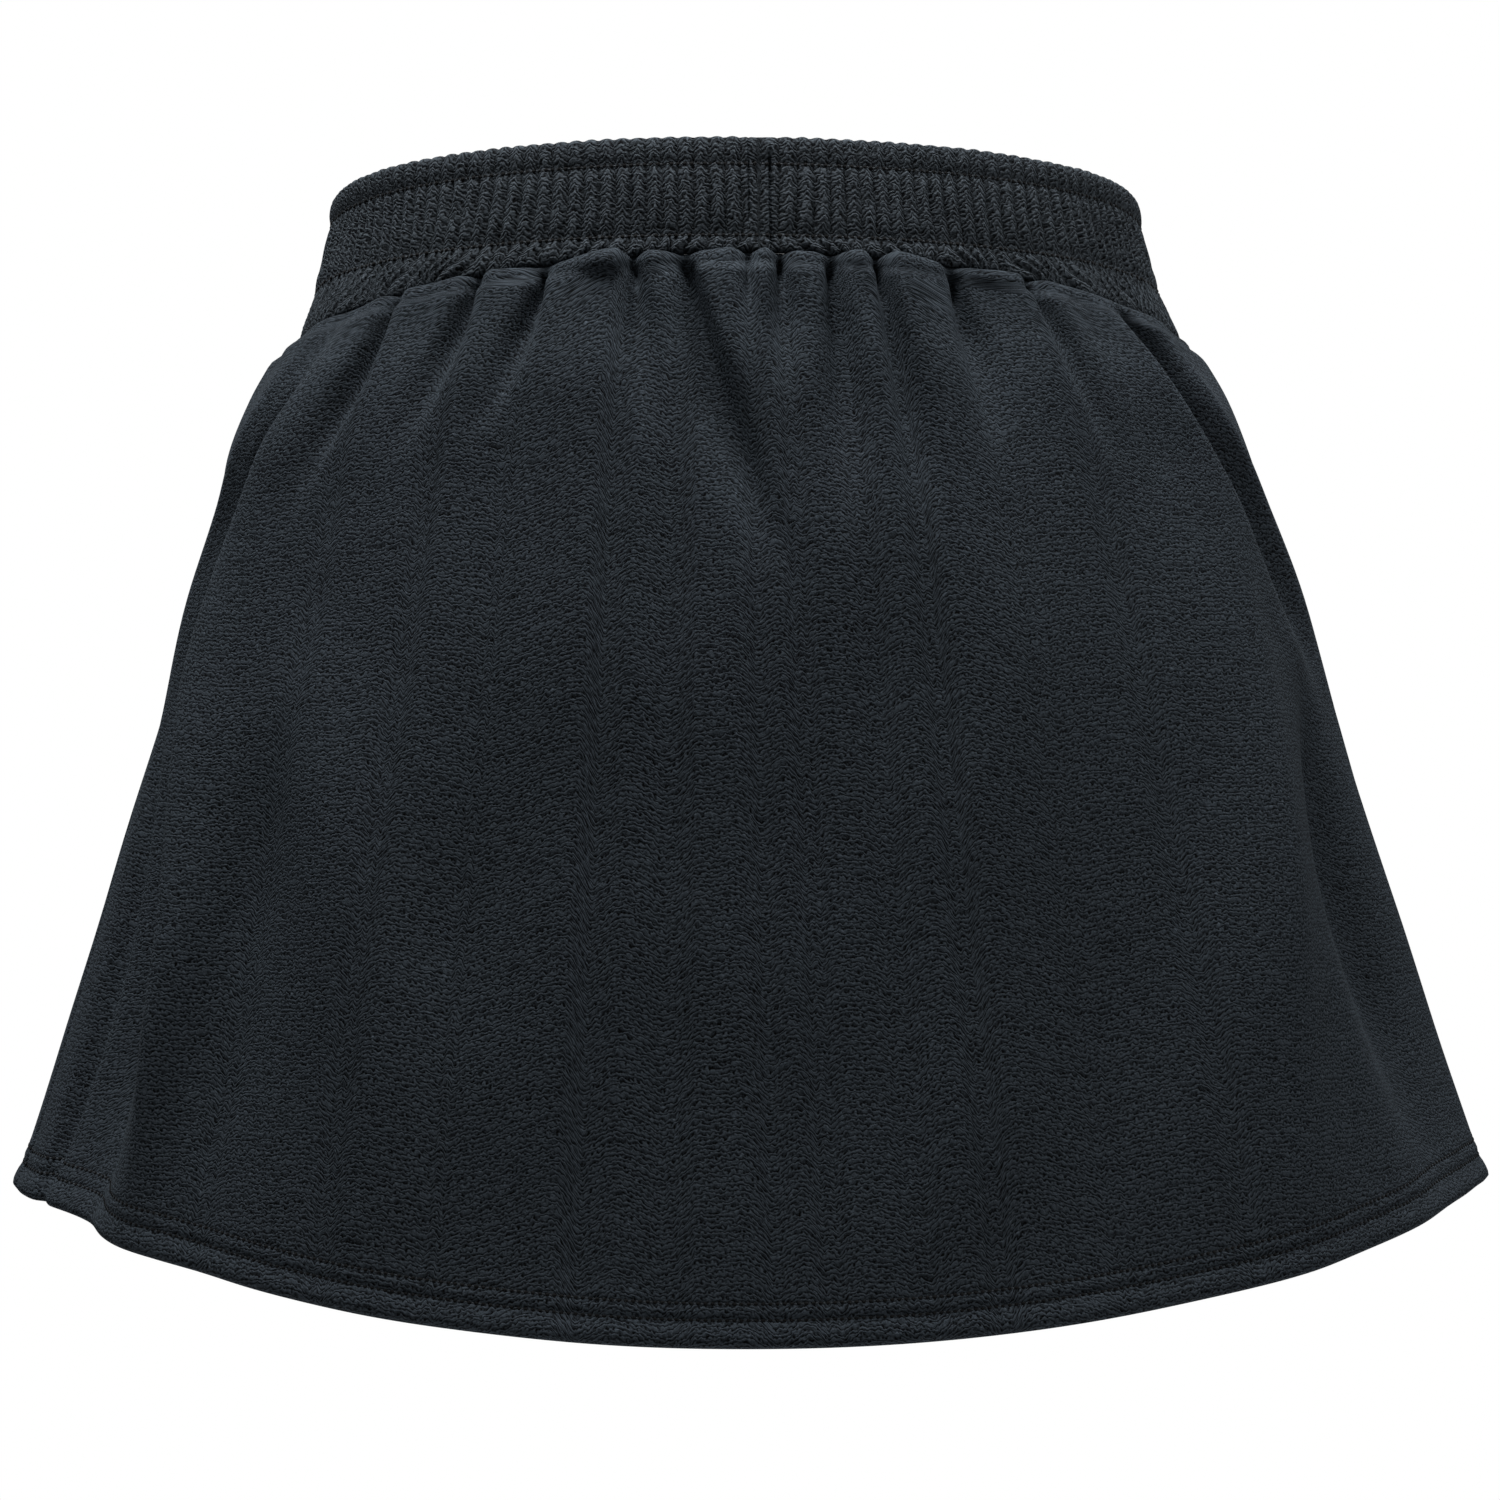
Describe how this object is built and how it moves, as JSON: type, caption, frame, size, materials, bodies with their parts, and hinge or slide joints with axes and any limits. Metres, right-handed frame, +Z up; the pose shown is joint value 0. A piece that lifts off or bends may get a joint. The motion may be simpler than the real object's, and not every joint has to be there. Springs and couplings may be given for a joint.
{
  "type": "tennis skort",
  "caption": "Hollow worn form of a knit tennis skort: elastic waistband, gathered A-line overskirt with a stitched hem, and plain inner shorts.",
  "frame": {"origin": "middle of the waist opening, at half the height of the waistband at the centre back, where the wearer's waist holds the garment", "axes": "+Z up out of the waist, +Y the way the wearer faces, +X the wearer's right; the back is on the -Y side"},
  "size_m": [0.4857, 0.2803, 0.3637],
  "materials": {
    "waistband_knit": "matt charcoal knit over ribbed elastic, two stitch rows",
    "skirt_knit": "matt, lightly brushed charcoal knit with a fine crosswise grain",
    "shorts_knit": "smooth dark stretch knit"
  },
  "bodies": {
    "root": {"waistband": "waistband_knit", "skirt_back": "skirt_knit", "skirt_front": "skirt_knit", "shorts_left": "shorts_knit", "shorts_right": "shorts_knit"}
  },
  "joints": []
}
